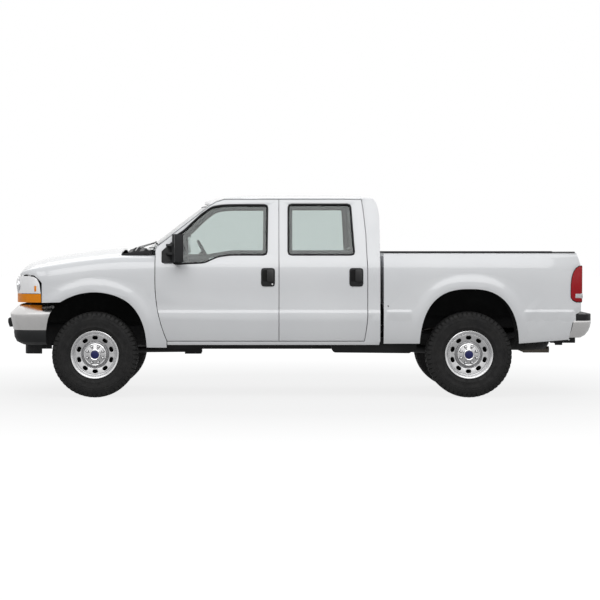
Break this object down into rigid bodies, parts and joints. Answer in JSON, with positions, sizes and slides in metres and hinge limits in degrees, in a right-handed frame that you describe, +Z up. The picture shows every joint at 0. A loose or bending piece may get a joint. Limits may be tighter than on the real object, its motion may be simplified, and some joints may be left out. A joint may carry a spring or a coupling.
{
  "type": "four-door pickup truck",
  "caption": "Lifted four-wheel-drive pickup truck with four doors and a short bed; doors, hood, tailgate, steering and wheels move.",
  "frame": {"origin": "on the ground, under the middle of the truck's box", "axes": "-X towards the nose, -Y towards the driver's side, +Z up"},
  "size_m": [6.235, 2.3256, 2.1649],
  "materials": {
    "paint": "gloss white paint",
    "black_plastic": "grained black plastic",
    "chrome": "bright chrome",
    "glass": "lightly tinted",
    "lamp": "clear lens over an amber turn signal",
    "tail_lamp": "red lens",
    "chassis": "black chassis paint",
    "engine": "cast",
    "exhaust": "dull steel",
    "wheel": "polished",
    "tyre": "black rubber",
    "interior": "grey interior plastic",
    "cloth": "grey cloth"
  },
  "bodies": {
    "chassis": {"frame": "chassis", "front_axle": "chassis", "rear_axle": "chassis", "leaf_springs": "chassis", "engine_block": "engine", "driveline": "chassis", "exhaust": "exhaust", "fuel_tank": "black_plastic", "spare_wheel": "tyre", "hitch_receiver": "chassis", "front_bumper": "chrome", "front_valance": "black_plastic", "rear_bumper": "chrome", "grille": "chrome", "headlamps": "lamp", "tail_lamps": "tail_lamp", "front_fenders": "paint", "arch_liners": "black_plastic", "cab_floor": "interior", "cab_sides": "paint", "firewall": "chassis", "cab_back": "paint", "roof": "paint", "windshield": "glass", "rear_window": "glass", "dashboard": "interior", "front_seats": "cloth", "rear_seat": "cloth", "bed_floor": "paint", "bed_sides": "paint", "bed_inner_walls": "paint", "bed_front_wall": "paint", "bed_rails": "black_plastic"},
    "hood": {"hood": "paint"},
    "tailgate": {"tailgate": "paint"},
    "front_door_left": {"front_door_left": "paint", "front_glass_left": "glass", "mirror_left": "black_plastic"},
    "front_door_right": {"front_door_right": "paint", "front_glass_right": "glass", "mirror_right": "black_plastic"},
    "rear_door_left": {"rear_door_left": "paint", "rear_glass_left": "glass"},
    "rear_door_right": {"rear_door_right": "paint", "rear_glass_right": "glass"},
    "steering_wheel": {"steering_wheel": "interior"},
    "knuckle_left": {"knuckle_left": "chassis"},
    "knuckle_right": {"knuckle_right": "chassis"},
    "tie_rod": {"tie_rod": "chassis"},
    "wheel_front_left": {"rim_front_left": "wheel", "tyre_front_left": "tyre"},
    "wheel_front_right": {"rim_front_right": "wheel", "tyre_front_right": "tyre"},
    "wheel_rear_left": {"rim_rear_left": "wheel", "tyre_rear_left": "tyre"},
    "wheel_rear_right": {"rim_rear_right": "wheel", "tyre_rear_right": "tyre"}
  },
  "joints": [
    {"name": "front_door_left_hinge", "type": "hinge", "parent": "chassis", "child": "front_door_left", "pos_m": [-1.4805, -1, 1.1], "axis": [0, 0, -1], "range_deg": [0, 65]},
    {"name": "rear_door_left_hinge", "type": "hinge", "parent": "chassis", "child": "rear_door_left", "pos_m": [-0.1685, -1, 1.1], "axis": [0, 0, -1], "range_deg": [0, 65]},
    {"name": "front_door_right_hinge", "type": "hinge", "parent": "chassis", "child": "front_door_right", "pos_m": [-1.4805, 1, 1.1], "axis": [0, 0, 1], "range_deg": [0, 65]},
    {"name": "rear_door_right_hinge", "type": "hinge", "parent": "chassis", "child": "rear_door_right", "pos_m": [-0.1685, 1, 1.1], "axis": [0, 0, 1], "range_deg": [0, 65]},
    {"name": "hood_hinge", "type": "hinge", "parent": "chassis", "child": "hood", "pos_m": [-1.8505, 0, 1.56], "axis": [0, 1, 0], "range_deg": [0, 50]},
    {"name": "tailgate_hinge", "type": "hinge", "parent": "chassis", "child": "tailgate", "pos_m": [2.9455, 0, 1.016], "axis": [0, 1, 0], "range_deg": [0, 90]},
    {"name": "steer_left", "type": "hinge", "parent": "chassis", "child": "knuckle_left", "pos_m": [-2.1695, -0.716, 0.454], "axis": [0, 0, 1], "range_deg": [-28, 28]},
    {"name": "steer_right", "type": "hinge", "parent": "chassis", "child": "knuckle_right", "pos_m": [-2.1695, 0.716, 0.454], "axis": [0, 0, 1], "range_deg": [-28, 28]},
    {"name": "tie_rod_pivot", "type": "hinge", "parent": "knuckle_left", "child": "tie_rod", "pos_m": [-2.3195, -0.716, 0.37], "axis": [0, 0, 1], "range_deg": [-28, 28]},
    {"name": "steering_wheel_turn", "type": "hinge", "parent": "chassis", "child": "steering_wheel", "pos_m": [-1.0055, -0.4, 1.5], "axis": [0.8829, 0, 0.4695], "range_deg": [-462.5, 462.5]},
    {"name": "wheel_front_left_spin", "type": "hinge", "parent": "knuckle_left", "child": "wheel_front_left", "pos_m": [-2.1695, -0.838, 0.454], "axis": [0, 1, 0], "continuous": true},
    {"name": "wheel_front_right_spin", "type": "hinge", "parent": "knuckle_right", "child": "wheel_front_right", "pos_m": [-2.1695, 0.838, 0.454], "axis": [0, 1, 0], "continuous": true},
    {"name": "wheel_rear_left_spin", "type": "hinge", "parent": "chassis", "child": "wheel_rear_left", "pos_m": [1.7975, -0.838, 0.454], "axis": [0, 1, 0], "continuous": true},
    {"name": "wheel_rear_right_spin", "type": "hinge", "parent": "chassis", "child": "wheel_rear_right", "pos_m": [1.7975, 0.838, 0.454], "axis": [0, 1, 0], "continuous": true}
  ],
  "couplings": [
    {"joint": "steer_right", "follows": "steer_left", "ratio": 1},
    {"joint": "tie_rod_pivot", "follows": "steer_left", "ratio": -1},
    {"joint": "steering_wheel_turn", "follows": "steer_left", "ratio": 16.5}
  ]
}
